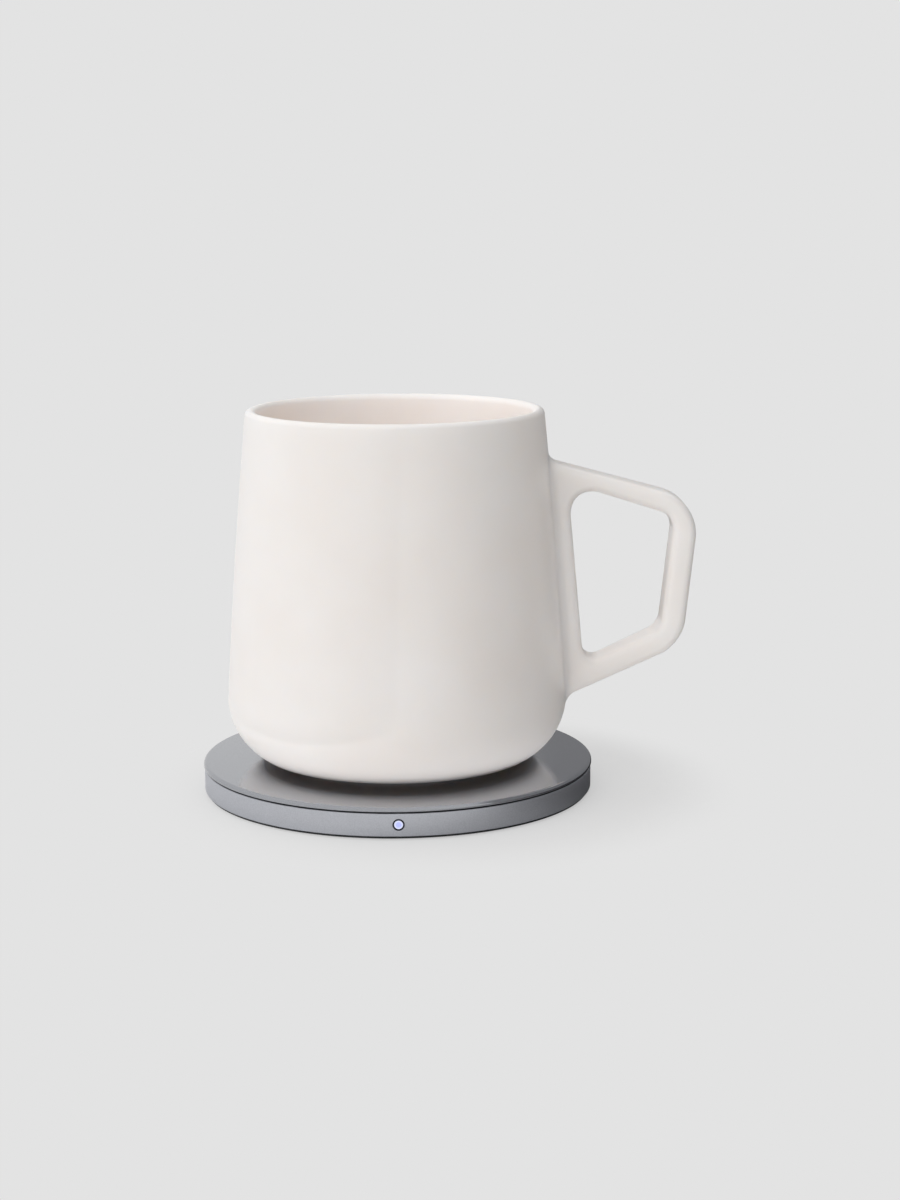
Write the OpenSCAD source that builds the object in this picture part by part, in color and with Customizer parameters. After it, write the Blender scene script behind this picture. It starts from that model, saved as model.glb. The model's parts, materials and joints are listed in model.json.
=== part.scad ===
// Self-heating mug on a round induction warming pad, in millimetres.
// The origin is the centre of the pad's underside. +Z is up, the handle points to +X,
// the indicator faces -Y and the power inlet faces +Y.

/* [Pad shell] */
// Diameter over the top cover
pad_d = 102; // [94:1:130]
// Height from the table to the face that the mug stands on
pad_h = 8.3; // [8:0.1:12]
// Thickness of the top cover
cover_t = 1.15; // [0.9:0.05:1.4]
// Radius of the top cover's upper edge
cover_edge_r = 0.9; // [0.3:0.05:1.3]
// Overhang of the top cover past the metal ring
cover_overhang = 0.2; // [0.05:0.05:0.6]
// Depth that the cover's locating skirt reaches into the ring
skirt_h = 1.3; // [0.8:0.1:1.6]
// Thickness of the locating skirt
skirt_t = 1.4; // [1:0.1:2]
// Wall of the metal ring
ring_t = 1.6; // [1.3:0.1:2.4]
// Chamfer on the ring's outer edges
ring_chamfer = 0.25; // [0.1:0.05:0.4]
// Height of the ring's lower edge above the table
ring_lift = 0.9; // [0.7:0.05:1.4]
// Height of the shadow gap between ring and top cover
gap_h = 0.25; // [0.15:0.05:0.6]
// Depth of the shadow gap
gap_depth = 0.8; // [0.4:0.1:1]
// Thickness of the base cover above the mat
base_t = 1; // [0.8:0.1:1.4]
// Inset of the base cover's edge from the ring's outer face
base_inset = 0.6; // [0.3:0.1:1]
// Thickness of the silicone mat
mat_t = 1; // [0.8:0.1:1.3]
// Height that the mat stands proud of the base cover
mat_proud = 0.3; // [0.2:0.05:0.5]
// Inset of the mat's edge from the ring's outer face
mat_inset = 7; // [5:0.5:7.5]

/* [Pad screws] */
// Number of screws that hold the two covers together
screw_count = 4; // [3:1:6]
// Shank diameter
screw_d = 1.7; // [1.4:0.1:2]
// Head diameter
screw_head_d = 3.4; // [3:0.1:3.8]
// Head height
screw_head_h = 1; // [0.8:0.1:1.2]
// Across flats of the socket in the head
screw_socket = 1.3; // [0.9:0.1:1.5]
// Thickness of the seat under the head
screw_seat_t = 0.8; // [0.6:0.1:1]
// Distance of the screws from the ring's inner face
screw_inset = 8; // [7.5:0.5:9]
// Wall of the screw bosses
boss_wall = 1.1; // [0.8:0.1:1.4]

/* [Circuit board] */
// Thickness of the board
board_t = 1; // [0.8:0.1:1.2]
// Height of the posts that carry the board
board_lift = 0.5; // [0.3:0.1:0.7]
// Gap between the board's edge and the ring
board_gap = 2.7; // [2:0.1:3.4]
// Diameter of the posts that carry the board
post_d = 3; // [2:0.2:5]
// Length and width of the controller
controller_w = 5; // [4:0.5:6]
// Length and width of a power switch
bridge_w = 3.3; // [3:0.1:5]
// Height of the chips
chip_h = 0.9; // [0.6:0.1:1.2]
// Length of a resonance capacitor
capacitor_l = 4.5; // [3.2:0.1:5.7]
// Width of a resonance capacitor
capacitor_w = 3.2; // [1.6:0.1:5]
// Height of a resonance capacitor
capacitor_h = 2.4; // [1.2:0.1:2.8]
// Length of a capacitor's end cap
capacitor_cap = 0.6; // [0.4:0.1:0.9]
// Number of resonance capacitors
capacitor_count = 4; // [2:1:4]
// Width of the filter inductor
inductor_w = 6; // [5:0.5:7]
// Height of the filter inductor
inductor_h = 2.6; // [1.6:0.1:2.8]

/* [Power inlet] */
// Width of the socket's metal shell
usb_w = 8.94; // [8.6:0.02:9.4]
// Height of the shell
usb_h = 3.2; // [3:0.02:3.4]
// Length of the shell
usb_l = 7.3; // [6:0.1:9]
// Wall of the shell
usb_wall = 0.3; // [0.2:0.05:0.4]
// Height of the shell's centre line above the board
usb_rise = 0.4; // [0.3:0.1:0.8]
// Depth of the mouth behind the ring's outer face
usb_recess = 0.8; // [0.4:0.1:1.2]
// Length of the insulator at the back of the shell
usb_block_l = 2.2; // [1.5:0.1:3]
// Width of the contact tongue
tongue_w = 6.7; // [6:0.1:7]
// Thickness of the contact tongue
tongue_t = 0.7; // [0.5:0.05:0.9]
// Distance of the tongue's tip behind the mouth
tongue_inset = 0.8; // [0.4:0.1:1.5]
// Width of the tabs that solder the shell to the board
usb_tab_w = 1.2; // [0.8:0.1:2]

/* [Indicator] */
// Diameter of the clear lens
lens_d = 2.1; // [1.4:0.1:2.3]
// Wall of the dark sleeve round the lens
bezel_t = 0.35; // [0.25:0.05:0.5]
// Width of the flange at the sleeve's inner end
bezel_flange = 0.6; // [0.3:0.1:0.8]
// Thickness of that flange
bezel_flange_t = 0.6; // [0.4:0.1:0.8]
// Height that lens and sleeve stand proud of the ring
lens_proud = 0.08; // [0.02:0.02:0.2]
// Width of the light source
led_w = 1.6; // [1:0.1:2]
// Depth of the light source
led_l = 0.8; // [0.5:0.1:1.2]
// Height of the light source
led_h = 0.8; // [0.5:0.1:1.2]

/* [Coil] */
// Turns of the flat coil
coil_turns = 11; // [8:1:12]
// Clear diameter inside the coil
coil_bore_d = 20; // [14:1:24]
// Diameter of the litz wire
wire_d = 1; // [0.8:0.05:1.1]
// Gap between neighbouring turns
wire_gap = 0.5; // [0.45:0.05:0.6]
// Thickness of the ferrite disc
ferrite_t = 0.8; // [0.5:0.1:1]
// Margin of the ferrite disc round the coil
ferrite_margin = 1.5; // [1:0.1:2]
// Diameter of the hole in the ferrite disc
ferrite_bore_d = 9; // [8:0.5:12]
// Thickness of the coil tray
tray_t = 0.6; // [0.5:0.1:0.7]
// Wall of the tray's rim
tray_rim = 1; // [0.8:0.1:1.4]
// Diameter of the tray's feet
tray_foot_d = 3; // [2:0.2:4]
// Diameter of the sensor's silicone sleeve
boot_d = 6; // [5:0.2:7]
// Diameter of the temperature sensor
sensor_d = 2.6; // [1.6:0.1:3.2]
// Height of the temperature sensor
sensor_h = 0.9; // [0.6:0.1:1.2]

/* [Mug] */
// Height of the mug
mug_h = 91.8; // [80:0.5:110]
// Outer diameter at the lip
rim_d = 77; // [68:0.5:84]
// Widest diameter, just above the rounded foot
body_d = 88.5; // [86:0.5:98]
// Radius of the rounded corner at the foot
corner_r = 17; // [12:0.5:17.5]
// Radius of the gentle outward curve of the wall
wall_bow_r = 2000; // [1000:100:4000]
// Thickness of the porcelain wall
wall_t = 2.9; // [2.4:0.1:3.6]
// Thickness of the porcelain above the heating recess
floor_t = 4; // [3:0.1:6]
// Radius of the corner inside the mug
inner_corner_r = 11; // [6:0.5:14]

/* [Mug base] */
// Diameter of the heating recess
recess_d = 50; // [44:0.5:52]
// Thickness of the heating plate
plate_t = 0.5; // [0.3:0.1:0.8]
// Thickness of the insulating disc
insulator_t = 0.8; // [0.5:0.1:1.2]
// Thickness of the base cap
cap_t = 1.9; // [1.7:0.1:2.6]
// Depth of the base cap inside the foot
cap_inset = 0.2; // [0.1:0.05:0.5]
// Thickness of the seal's round section
seal_d = 1.1; // [0.8:0.05:1.3]

/* [Handle] */
// Height above the foot where the upper arm's top edge meets the wall
handle_top = 78.2; // [70:0.2:82]
// Height above the foot where the lower arm's bottom edge meets the wall
handle_low = 16.4; // [14:0.2:24]
// Reach of the grip past the widest part of the body
handle_reach = 32.2; // [28:0.2:40]
// Height above the foot where that reach is measured
grip_mid = 48; // [42:1:54]
// Outward lean of the grip, in degrees
grip_lean = 6.4; // [0:0.2:10]
// Downward slope of the upper arm, in degrees
arm_fall = 15.2; // [10:0.2:20]
// Upward slope of the lower arm, in degrees
arm_rise = 24.1; // [18:0.2:28]
// Taper of the upper arm towards the wall, in degrees
upper_taper = 2.5; // [0:0.1:3]
// Taper of the lower arm towards the wall, in degrees
lower_taper = 1.3; // [0:0.1:3]
// Thickness of the upper arm at the grip
upper_t = 5.4; // [5:0.1:7]
// Thickness of the grip
grip_t = 6.2; // [5:0.1:8]
// Thickness of the lower arm at the grip
lower_t = 6.2; // [5:0.1:8]
// Width of the web along the wall at its upper end
web_upper_t = 4.2; // [3.4:0.1:6]
// Width of the web along the wall at its lower end
web_lower_t = 5.2; // [3.4:0.1:7]
// Depth of the handle from front to back
handle_depth = 11; // [8:0.2:14]
// Radius of the handle's long edges
handle_edge_r = 2.2; // [1.4:0.1:2.3]
// Radius of the fillet where the handle grows out of the wall
root_r = 2; // [1:0.1:2.4]
// Radius of the grip's outer upper corner
outer_upper_r = 11.4; // [8:0.2:13]
// Radius of the grip's outer lower corner
outer_lower_r = 10.8; // [8:0.2:13]
// Radius of the finger hole's upper corner at the wall
hole_wall_upper_r = 6; // [4:0.2:7]
// Radius of the finger hole's upper corner at the grip
hole_grip_upper_r = 4.8; // [3:0.2:6]
// Radius of the finger hole's lower corner at the grip
hole_grip_lower_r = 5; // [3:0.2:6]
// Radius of the finger hole's lower corner at the wall
hole_wall_lower_r = 3.5; // [2:0.2:5]

/* [Hidden] */
$fn = 96;

// Clearances: a locating fit, a loose fit, a bonded seam and the skip that a cut needs
locate_gap = 0.15;
loose_gap = 0.3;
bond_gap = 0.05;
skip = 1;

// Proportions of small parts: lens dome, screw socket, coil end, inductor corner, light contacts
dome_ratio = 3;
socket_share = 0.6;
lead_share = 0.9;
inductor_turn = 1.25;
contact_share = 0.25;
contact_drop = 0.8;
contact_inset = 0.9;

// Pad radii, from the outside in
cover_r = pad_d / 2;
ring_r = cover_r - cover_overhang;
ring_in_r = ring_r - ring_t;
base_r = ring_r - base_inset;
mat_r = ring_r - mat_inset;
screw_r = ring_in_r - screw_inset;
board_r = ring_in_r - board_gap;

// Pad heights, from the table up
base_z = mat_proud;
base_top = mat_t + base_t;
cover_z = pad_h - cover_t;
ring_shoulder_z = cover_z - gap_h;
seat_z = mat_t + screw_head_h + bond_gap;
cup_top = max(seat_z + screw_seat_t, base_top);
cup_r = screw_head_d / 2 + locate_gap + boss_wall;
boss_r = screw_d / 2 + boss_wall;
board_z = base_top + board_lift;
board_top = board_z + board_t;
edge_r = min(cover_edge_r, cover_t - bond_gap);

// Coil stack, from the top cover down
coil_steps = 24;
wire_sides = 6;
pitch = wire_d + wire_gap;
coil_in_r = coil_bore_d / 2 + wire_d / 2;
coil_out_r = coil_in_r + coil_turns * pitch;
wire_flat = wire_d / 2 * cos(180 / wire_sides);
coil_z = cover_z - loose_gap - wire_flat;
ferrite_top = coil_z - wire_flat - bond_gap;
ferrite_z = ferrite_top - ferrite_t;
ferrite_r = coil_out_r + wire_d / 2 + ferrite_margin;
tray_z = ferrite_z - tray_t;
tray_in_r = ferrite_r + locate_gap;
tray_r = tray_in_r + tray_rim;
lead_d = lead_share * wire_d;
lead_r = [coil_in_r, coil_out_r];

// Ring on the board where the larger components stand
part_r = (tray_r + board_r) / 2;

// Power inlet and indicator
usb_z = board_top + usb_rise;
usb_mouth = ring_r - usb_recess;
usb_back = usb_mouth - usb_l;
usb_tab_t = usb_wall;
lens_z = board_top + led_h / 2;
bezel_d = lens_d + 2 * (bezel_t + bond_gap);
bezel_back = ring_in_r - bezel_flange_t - locate_gap;
lens_back = board_r + bond_gap;
lens_dome_r = dome_ratio * lens_d;

// Mug base, from the foot up
foot_z = pad_h;
cap_z = foot_z + cap_inset;
insulator_z = cap_z + cap_t;
plate_z = insulator_z + insulator_t;
recess_z = plate_z + plate_t;
floor_z = recess_z + floor_t;
recess_r = recess_d / 2;
disc_r = recess_r - loose_gap;
cap_r = recess_r - locate_gap;
groove_depth = seal_d - locate_gap;

// Mug profile: the foot's round corner and the lip are joined by one long arc
corner_c = [body_d / 2 - corner_r, foot_z + corner_r];
lip_r = wall_t / 2;
lip_c = [rim_d / 2 - lip_r, foot_z + mug_h - lip_r];
bow_c = circles_meet(corner_c, wall_bow_r - corner_r, lip_c, wall_bow_r - lip_r);
lip_dir = unit(lip_c - bow_c);
corner_end = corner_c + corner_r * unit(corner_c - bow_c);
inner_bow_r = wall_bow_r - wall_t;
inner_c_z = floor_z + inner_corner_r;
inner_c = [bow_c.x + leg(inner_bow_r - inner_corner_r, inner_c_z - bow_c.y), inner_c_z];
inner_end = inner_c + inner_corner_r * unit(inner_c - bow_c);
bow_steps = 12;

// Handle outline in the XZ plane: the outer quadrilateral and the finger hole
arc_steps = 8;
root_steps = 6;
edge_steps = 4;
face_steps = 6;
bury_ratio = 1.6;
bury = bury_ratio * handle_edge_r;
root_spread = 1.1;
root_zone = root_spread * root_r;
root_share = 0.16;
buried_corner_r = 0.8;
edge_share = 0.46;
least_slope = 0.2;
top_z = foot_z + handle_top;
low_z = foot_z + handle_low;
top_p = [wall_r(top_z), top_z];
low_p = [wall_r(low_z), low_z];
grip_p = [body_d / 2 + handle_reach, foot_z + grip_mid];
top_u = heading(-arm_fall);
low_u = heading(arm_rise);
grip_u = heading(90 - grip_lean);
web_u = (top_p + [web_upper_t, 0]) - (low_p + [web_lower_t, 0]);
outer_tr = meet(top_p, top_u, grip_p, grip_u);
outer_br = meet(low_p, low_u, grip_p, grip_u);
outer_tl = meet(top_p, top_u, top_p - [bury, 0], top_p - low_p);
outer_bl = meet(low_p, low_u, top_p - [bury, 0], top_p - low_p);
grip_in = grip_p + grip_t * heading(180 - grip_lean);
hole_tr = meet(top_p + upper_t * heading(-90 - arm_fall), top_u, grip_in, grip_u);
hole_br = meet(low_p + lower_t * heading(90 + arm_rise), low_u, grip_in, grip_u);
web_p = low_p + [web_lower_t, 0];
hole_tl = meet(hole_tr, heading(-arm_fall - upper_taper), web_p, web_u);
hole_bl = meet(hole_br, heading(arm_rise + lower_taper), web_p, web_u);

// Plane geometry
function unit(v) = v / norm(v);
function heading(a) = [cos(a), sin(a)];
function turn_left(v) = [-v.y, v.x];
function leg(hypotenuse, other) = sqrt(hypotenuse * hypotenuse - other * other);
function meet(p, u, q, v) = p + u * cross(q - p, v) / cross(u, v);
function mix(p, q, t) = p + (q - p) * t;

// The crossing of two circles that lies to the left of the way from p to q
function circles_meet(p, p_r, q, q_r) =
    let (gap = norm(q - p), along = (p_r * p_r - q_r * q_r + gap * gap) / (2 * gap))
    p + along * unit(q - p) + leg(p_r, along) * turn_left(unit(q - p));

// Points of the arc that rounds the corner at q between p and s
function round_corner(p, q, s, r) =
    let (u = unit(p - q), v = unit(s - q), half = acos(u * v) / 2,
         c = q + unit(u + v) * r / sin(half),
         first = q + u * r / tan(half) - c,
         sweep = sign(cross(-u, v)) * (180 - 2 * half),
         start = atan2(first.y, first.x))
    [for (i = [0 : arc_steps]) c + r * heading(start + sweep * i / arc_steps)];

// Points of the wall's long arc between two heights
function bow_arc(r, from, to) =
    [for (i = [0 : bow_steps])
        let (z = from + (to - from) * i / bow_steps)
        [bow_c.x + leg(r, z - bow_c.y), z]];

// Outer radius of the mug at a height
function wall_r(z) = z < corner_end.y
    ? corner_c.x + leg(corner_r, z - corner_c.y)
    : bow_c.x + leg(wall_bow_r, z - bow_c.y);

// Handle loops: stations run up the web, out along the upper arm, down the grip and back
outer_loop = concat(
    round_corner(outer_bl, outer_tl, outer_tr, buried_corner_r),
    [for (i = [0 : root_steps]) top_p + top_u * root_zone * i / root_steps],
    round_corner(outer_tl, outer_tr, outer_br, outer_upper_r),
    round_corner(outer_tr, outer_br, outer_bl, outer_lower_r),
    [for (i = [root_steps : -1 : 0]) low_p + low_u * root_zone * i / root_steps],
    round_corner(outer_br, outer_bl, outer_tl, buried_corner_r));
hole_upper_wall = round_corner(hole_bl, hole_tl, hole_tr, hole_wall_upper_r);
hole_upper_grip = round_corner(hole_tl, hole_tr, hole_br, hole_grip_upper_r);
hole_lower_grip = round_corner(hole_tr, hole_br, hole_bl, hole_grip_lower_r);
hole_lower_wall = round_corner(hole_br, hole_bl, hole_tl, hole_wall_lower_r);
hole_loop = concat(
    hole_upper_wall,
    [for (i = [1 : root_steps + 1])
        mix(hole_upper_wall[arc_steps], hole_upper_grip[0], root_share * i / root_steps)],
    hole_upper_grip,
    hole_lower_grip,
    [for (i = [root_steps + 1 : -1 : 1])
        mix(hole_lower_wall[0], hole_lower_grip[arc_steps], root_share * i / root_steps)],
    hole_lower_wall);
stations = len(outer_loop);

// Direction away from the solid at a station of a loop
function loop_normal(loop, i, side) =
    side * turn_left(unit(loop[(i + 1) % stations] - loop[(i + stations - 1) % stations]));

// Direction of the fillet's push at the outside: square to the arm that grows out of the wall
function push_normal(i) =
    i <= arc_steps ? turn_left(top_u)
    : i >= stations - 1 - arc_steps ? -turn_left(low_u)
    : loop_normal(outer_loop, i, 1);

// Outward push that turns the corner between handle and wall into a hollow fillet
function root_push(p, y) =
    let (s = max(norm([p.x, y]) - wall_r(p.y), 0))
    s >= root_zone ? 0 : root_r * pow(1 - s / root_zone, 2);

// One ring of the handle's section at a station, from the hole to the outside and back
function handle_half(i) =
    let (p = hole_loop[i], q = outer_loop[i], d = unit(q - p), reach = norm(q - p),
         n_in = loop_normal(hole_loop, i, -1), n_out = loop_normal(outer_loop, i, 1),
         fit = edge_share * reach,
         r_in = min(handle_edge_r / max(abs(d * n_in), least_slope), fit),
         r_out = min(handle_edge_r / max(abs(d * n_out), least_slope), fit),
         flat = handle_depth / 2 - handle_edge_r)
    concat(
        [for (k = [0 : edge_steps])
            let (a = 90 * k / edge_steps)
            [p + d * r_in * (1 - cos(a)), flat + handle_edge_r * sin(a), n_in * 0, 1]],
        [for (k = [1 : face_steps - 1])
            [p + d * (r_in + (reach - r_in - r_out) * k / face_steps), handle_depth / 2, n_in * 0, 1]],
        [for (k = [edge_steps : -1 : 0])
            let (a = 90 * k / edge_steps)
            [q - d * r_out * (1 - cos(a)), flat + handle_edge_r * sin(a),
             push_normal(i) * cos(a), sin(a)]]);
function handle_point(s, side) =
    let (push = root_push(s[0], s[1]), p = s[0] + push * s[2])
    [p.x, side * (s[1] + push * s[3]), p.y];
function handle_ring(i) =
    let (half = handle_half(i), last = len(half) - 1)
    concat([for (s = half) handle_point(s, 1)],
           [for (k = [last : -1 : 0]) handle_point(half[k], -1)]);

// Two triangles for each cell of a grid of rings, closed both ways or capped at its ends
function grid_faces(rings, sides, closed) =
    [for (i = [0 : rings - (closed ? 1 : 2)], k = [0 : sides - 1])
        let (a = i * sides, b = ((i + 1) % rings) * sides, n = (k + 1) % sides)
        each [[a + k, b + k, b + n], [a + k, b + n, a + n]]];
function end_faces(rings, sides) =
    [for (k = [1 : sides - 2])
        each [[0, k, k + 1],
              [(rings - 1) * sides, (rings - 1) * sides + k + 1, (rings - 1) * sides + k]]];

// Coil centre line: a flat spiral with a straight wire diameter at each end
function coil_at(turn) = (coil_in_r + pitch * turn) * heading(360 * turn);
function coil_dir(turn) = turn_left(heading(360 * turn));
coil_line = concat(
    [[coil_at(0) - wire_d * coil_dir(0), 0]],
    [for (i = [0 : coil_turns * coil_steps]) [coil_at(i / coil_steps), i / coil_steps]],
    [[coil_at(coil_turns) + wire_d * coil_dir(coil_turns), coil_turns]]);
function wire_ring(s) =
    [for (k = [0 : wire_sides - 1])
        let (a = 360 * k / wire_sides, p = s[0] + wire_d / 2 * cos(a) * heading(360 * s[1]))
        [p.x, p.y, coil_z + wire_d / 2 * sin(a)]];
half_turn = 0.5;
coil_gap = min([for (a = coil_line, b = coil_line)
    if (b[1] - a[1] > half_turn) norm(a[0] - b[0])]) - wire_d;
echo("least gap between the coil's turns, mm", coil_gap);

// Copies round the Z axis
module around(angles, radius) {
    for (a = angles) rotate(a) translate([radius, 0, 0]) children();
}

// A bar with round ends, lying along X, in the plane
module stadium(w, h) {
    square([w - h, h], center = true);
    for (side = [-1, 1]) translate([side * (w - h) / 2, 0]) circle(d = h);
}

// A shape drawn in X and Z, pushed along Y
module along_y(from, to) {
    translate([0, to, 0]) rotate([90, 0, 0]) linear_extrude(to - from) children();
}

first_screw = 45;
screw_angles = [for (i = [0 : screw_count - 1]) first_screw + 360 * i / screw_count];
post_angles = [0, 60, 120, 180, 240, 300];
foot_angles = [60, 180, 300];
post_r = part_r - inductor_w;
tray_foot_r = (coil_in_r + coil_out_r) / 2;
controller_angle = 180;
bridge_angles = [155, 205];
inductor_angle = 110;
capacitor_spread = 17;
capacitor_angles = [for (i = [0 : capacitor_count - 1])
    capacitor_spread * (i - (capacitor_count - 1) / 2)];

// Cuts that the ring and the covers share
module usb_cut() {
    translate([0, 0, usb_z])
        along_y(board_r - skip, ring_r + skip)
            stadium(usb_w + 2 * locate_gap, usb_h + 2 * locate_gap);
}
module lens_cut(d) {
    translate([0, 0, lens_z]) along_y(-ring_r - skip, -board_r) circle(d = d);
}

// Satin disc with a rounded edge, a locating skirt and screw bosses
module top_cover() color("#8e8f94") difference() {
    union() {
        rotate_extrude() {
            translate([0, cover_z]) square([cover_r, cover_t - edge_r]);
            translate([0, cover_z]) square([cover_r - edge_r, cover_t]);
            intersection() {
                translate([cover_r - edge_r, pad_h - edge_r]) circle(r = edge_r);
                translate([0, cover_z]) square([cover_r, cover_t]);
            }
        }
        translate([0, 0, cover_z - skirt_h]) difference() {
            cylinder(r = ring_in_r - locate_gap, h = skirt_h);
            translate([0, 0, -skip])
                cylinder(r = ring_in_r - locate_gap - skirt_t, h = skirt_h + skip);
        }
        around(screw_angles, screw_r)
            translate([0, 0, cup_top]) cylinder(r = boss_r, h = cover_z - cup_top);
    }
    around(screw_angles, screw_r)
        translate([0, 0, cup_top - skip])
            cylinder(d = screw_d + 2 * bond_gap, h = cover_z - cup_top - loose_gap + skip);
    usb_cut();
    lens_cut(bezel_d + 2 * (bezel_flange + locate_gap));
}

// Aluminium band with chamfered edges and the rebate that makes the shadow gap
module metal_ring() color("#a4a5aa") difference() {
    rotate_extrude() polygon([
        [ring_in_r, ring_lift],
        [ring_r - ring_chamfer, ring_lift],
        [ring_r, ring_lift + ring_chamfer],
        [ring_r, ring_shoulder_z - ring_chamfer],
        [ring_r - ring_chamfer, ring_shoulder_z],
        [ring_r - gap_depth, ring_shoulder_z],
        [ring_r - gap_depth, cover_z],
        [ring_in_r, cover_z]]);
    usb_cut();
    lens_cut(bezel_d + 2 * bond_gap);
}

// Dark moulded tray with the mat's recess, screw cups and board posts
module base_cover() color("#26272a") difference() {
    union() {
        translate([0, 0, base_z]) cylinder(r = base_r, h = ring_lift - base_z);
        translate([0, 0, base_z]) cylinder(r = ring_in_r - locate_gap, h = base_top - base_z);
        around(screw_angles, screw_r)
            translate([0, 0, base_z]) cylinder(r = cup_r, h = cup_top - base_z);
        around(post_angles, post_r)
            translate([0, 0, base_z]) cylinder(d = post_d, h = board_z - base_z);
    }
    cylinder(r = mat_r + bond_gap, h = mat_t);
    around(screw_angles, screw_r) {
        cylinder(d = screw_head_d + 2 * locate_gap, h = seat_z);
        cylinder(d = screw_d + 2 * locate_gap, h = cup_top + skip);
    }
    lens_cut(bezel_d + 2 * (bezel_flange + locate_gap));
}

// Silicone mat that the pad stands on
module foot_mat() color("#3a3b3d") cylinder(r = mat_r, h = mat_t);

module cover_screws() color("#b9bbbf") around(screw_angles, screw_r) difference() {
    union() {
        translate([0, 0, seat_z - screw_head_h]) cylinder(d = screw_head_d, h = screw_head_h);
        translate([0, 0, seat_z - bond_gap])
            cylinder(d = screw_d, h = cover_z - 2 * loose_gap - seat_z + bond_gap);
    }
    translate([0, 0, seat_z - screw_head_h - skip])
        cylinder(d = screw_socket / cos(30), h = screw_head_h * socket_share + skip, $fn = 6);
}

// Dark sleeve round the lens, with a flange behind the ring
module indicator_bezel() color("#1c1d20") translate([0, 0, lens_z]) difference() {
    union() {
        along_y(-ring_r - lens_proud, -bezel_back) circle(d = bezel_d);
        along_y(-bezel_back - bezel_flange_t, -bezel_back) circle(d = bezel_d + 2 * bezel_flange);
    }
    along_y(-ring_r - skip, -bezel_back + skip) circle(d = lens_d + 2 * bond_gap);
}

// Clear light pipe with a slightly domed end
module indicator_lens() color("#dfe3ff") translate([0, 0, lens_z]) intersection() {
    along_y(-ring_r - skip, -lens_back) circle(d = lens_d);
    translate([0, -ring_r - lens_proud + lens_dome_r, 0]) sphere(r = lens_dome_r);
}

// Light source at the board's front edge: a body between two end contacts
module indicator_led() color("#f4f2dc") translate([0, -board_r + led_l / 2 + bond_gap, board_top]) {
    contact_w = contact_share * led_w;
    contact_h = contact_drop * led_h;
    translate([contact_w - led_w / 2, -led_l / 2, 0]) cube([led_w - 2 * contact_w, led_l, led_h]);
    for (side = [-1, 1]) translate([side * (led_w - contact_w) / 2, 0, contact_h / 2])
        cube([contact_w, contact_inset * led_l, contact_h], center = true);
}

// Round circuit board with holes for the screw cups, slots for the socket and the lens
module main_board() color("#1f5a3c") difference() {
    translate([0, 0, board_z]) cylinder(r = board_r, h = board_t);
    around(screw_angles, screw_r)
        translate([0, 0, board_z - skip])
            cylinder(r = cup_r + loose_gap, h = board_t + 2 * skip);
    translate([-usb_w / 2 - locate_gap, usb_back - locate_gap, board_z - skip])
        cube([usb_w + 2 * locate_gap, ring_r, board_t + 2 * skip]);
}

module controller_chip() color("#202124") around([controller_angle], part_r)
    translate([0, 0, board_top + chip_h / 2])
        cube([controller_w, controller_w, chip_h], center = true);

module bridge_chips() color("#27282b") around(bridge_angles, part_r)
    translate([0, 0, board_top + chip_h / 2])
        cube([bridge_w, bridge_w, chip_h], center = true);

// Ceramic blocks between two end caps
module resonance_capacitors() color("#b08d5f") around(capacitor_angles, part_r) {
    translate([0, 0, board_top + capacitor_h / 2])
        cube([capacitor_w - 2 * bond_gap, capacitor_l - capacitor_cap, capacitor_h - 2 * bond_gap],
             center = true);
    for (side = [-1, 1])
        translate([0, side * (capacitor_l - capacitor_cap) / 2, board_top + capacitor_h / 2])
            cube([capacitor_w, capacitor_cap, capacitor_h], center = true);
}

// Shielded inductor: a square block with its corners turned off
module filter_inductor() color("#4b4c50") around([inductor_angle], part_r)
    translate([0, 0, board_top]) intersection() {
        translate([0, 0, inductor_h / 2]) cube([inductor_w, inductor_w, inductor_h], center = true);
        cylinder(d = inductor_w * inductor_turn, h = inductor_h);
    }

// Metal shell, sunk into the board's slot and held by two tabs on the board
module usb_socket() color("#c3c5c9") {
    translate([0, 0, usb_z]) difference() {
        along_y(usb_back, usb_mouth) stadium(usb_w, usb_h);
        along_y(usb_back - skip, usb_mouth + skip)
            stadium(usb_w - 2 * usb_wall, usb_h - 2 * usb_wall);
    }
    for (side = [-1, 1]) difference() {
        translate([side * (usb_w / 2 + usb_tab_w / 2 - usb_wall / 2), usb_back + usb_tab_w,
                   board_top + usb_tab_t / 2])
            cube([usb_tab_w + usb_wall, usb_tab_w, usb_tab_t], center = true);
        translate([0, 0, usb_z]) along_y(usb_back - skip, usb_mouth + skip)
            stadium(usb_w - usb_wall, usb_h - usb_wall);
    }
}

// Insulator block at the back of the shell with the contact tongue on it
module usb_tongue() color("#2a2b2e") translate([0, 0, usb_z]) {
    along_y(usb_back, usb_back + usb_block_l)
        stadium(usb_w - 2 * (usb_wall + bond_gap), usb_h - 2 * (usb_wall + bond_gap));
    along_y(usb_back, usb_mouth - tongue_inset) square([tongue_w, tongue_t], center = true);
}

// Holes that the two coil ends pass through
module lead_cuts() {
    for (r = lead_r) translate([r, 0, board_top]) cylinder(d = lead_d + 2 * loose_gap, h = pad_h);
}

// Moulded dish that carries ferrite and coil on three feet
module coil_tray() color("#d9d6cc") difference() {
    union() {
        translate([0, 0, tray_z]) cylinder(r = tray_r, h = tray_t);
        translate([0, 0, tray_z]) difference() {
            cylinder(r = tray_r, h = ferrite_top - tray_z);
            translate([0, 0, -skip]) cylinder(r = tray_in_r, h = ferrite_top - tray_z + 2 * skip);
        }
        around(foot_angles, tray_foot_r)
            translate([0, 0, board_top]) cylinder(d = tray_foot_d, h = tray_z - board_top + tray_t / 2);
    }
    lead_cuts();
}

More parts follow.
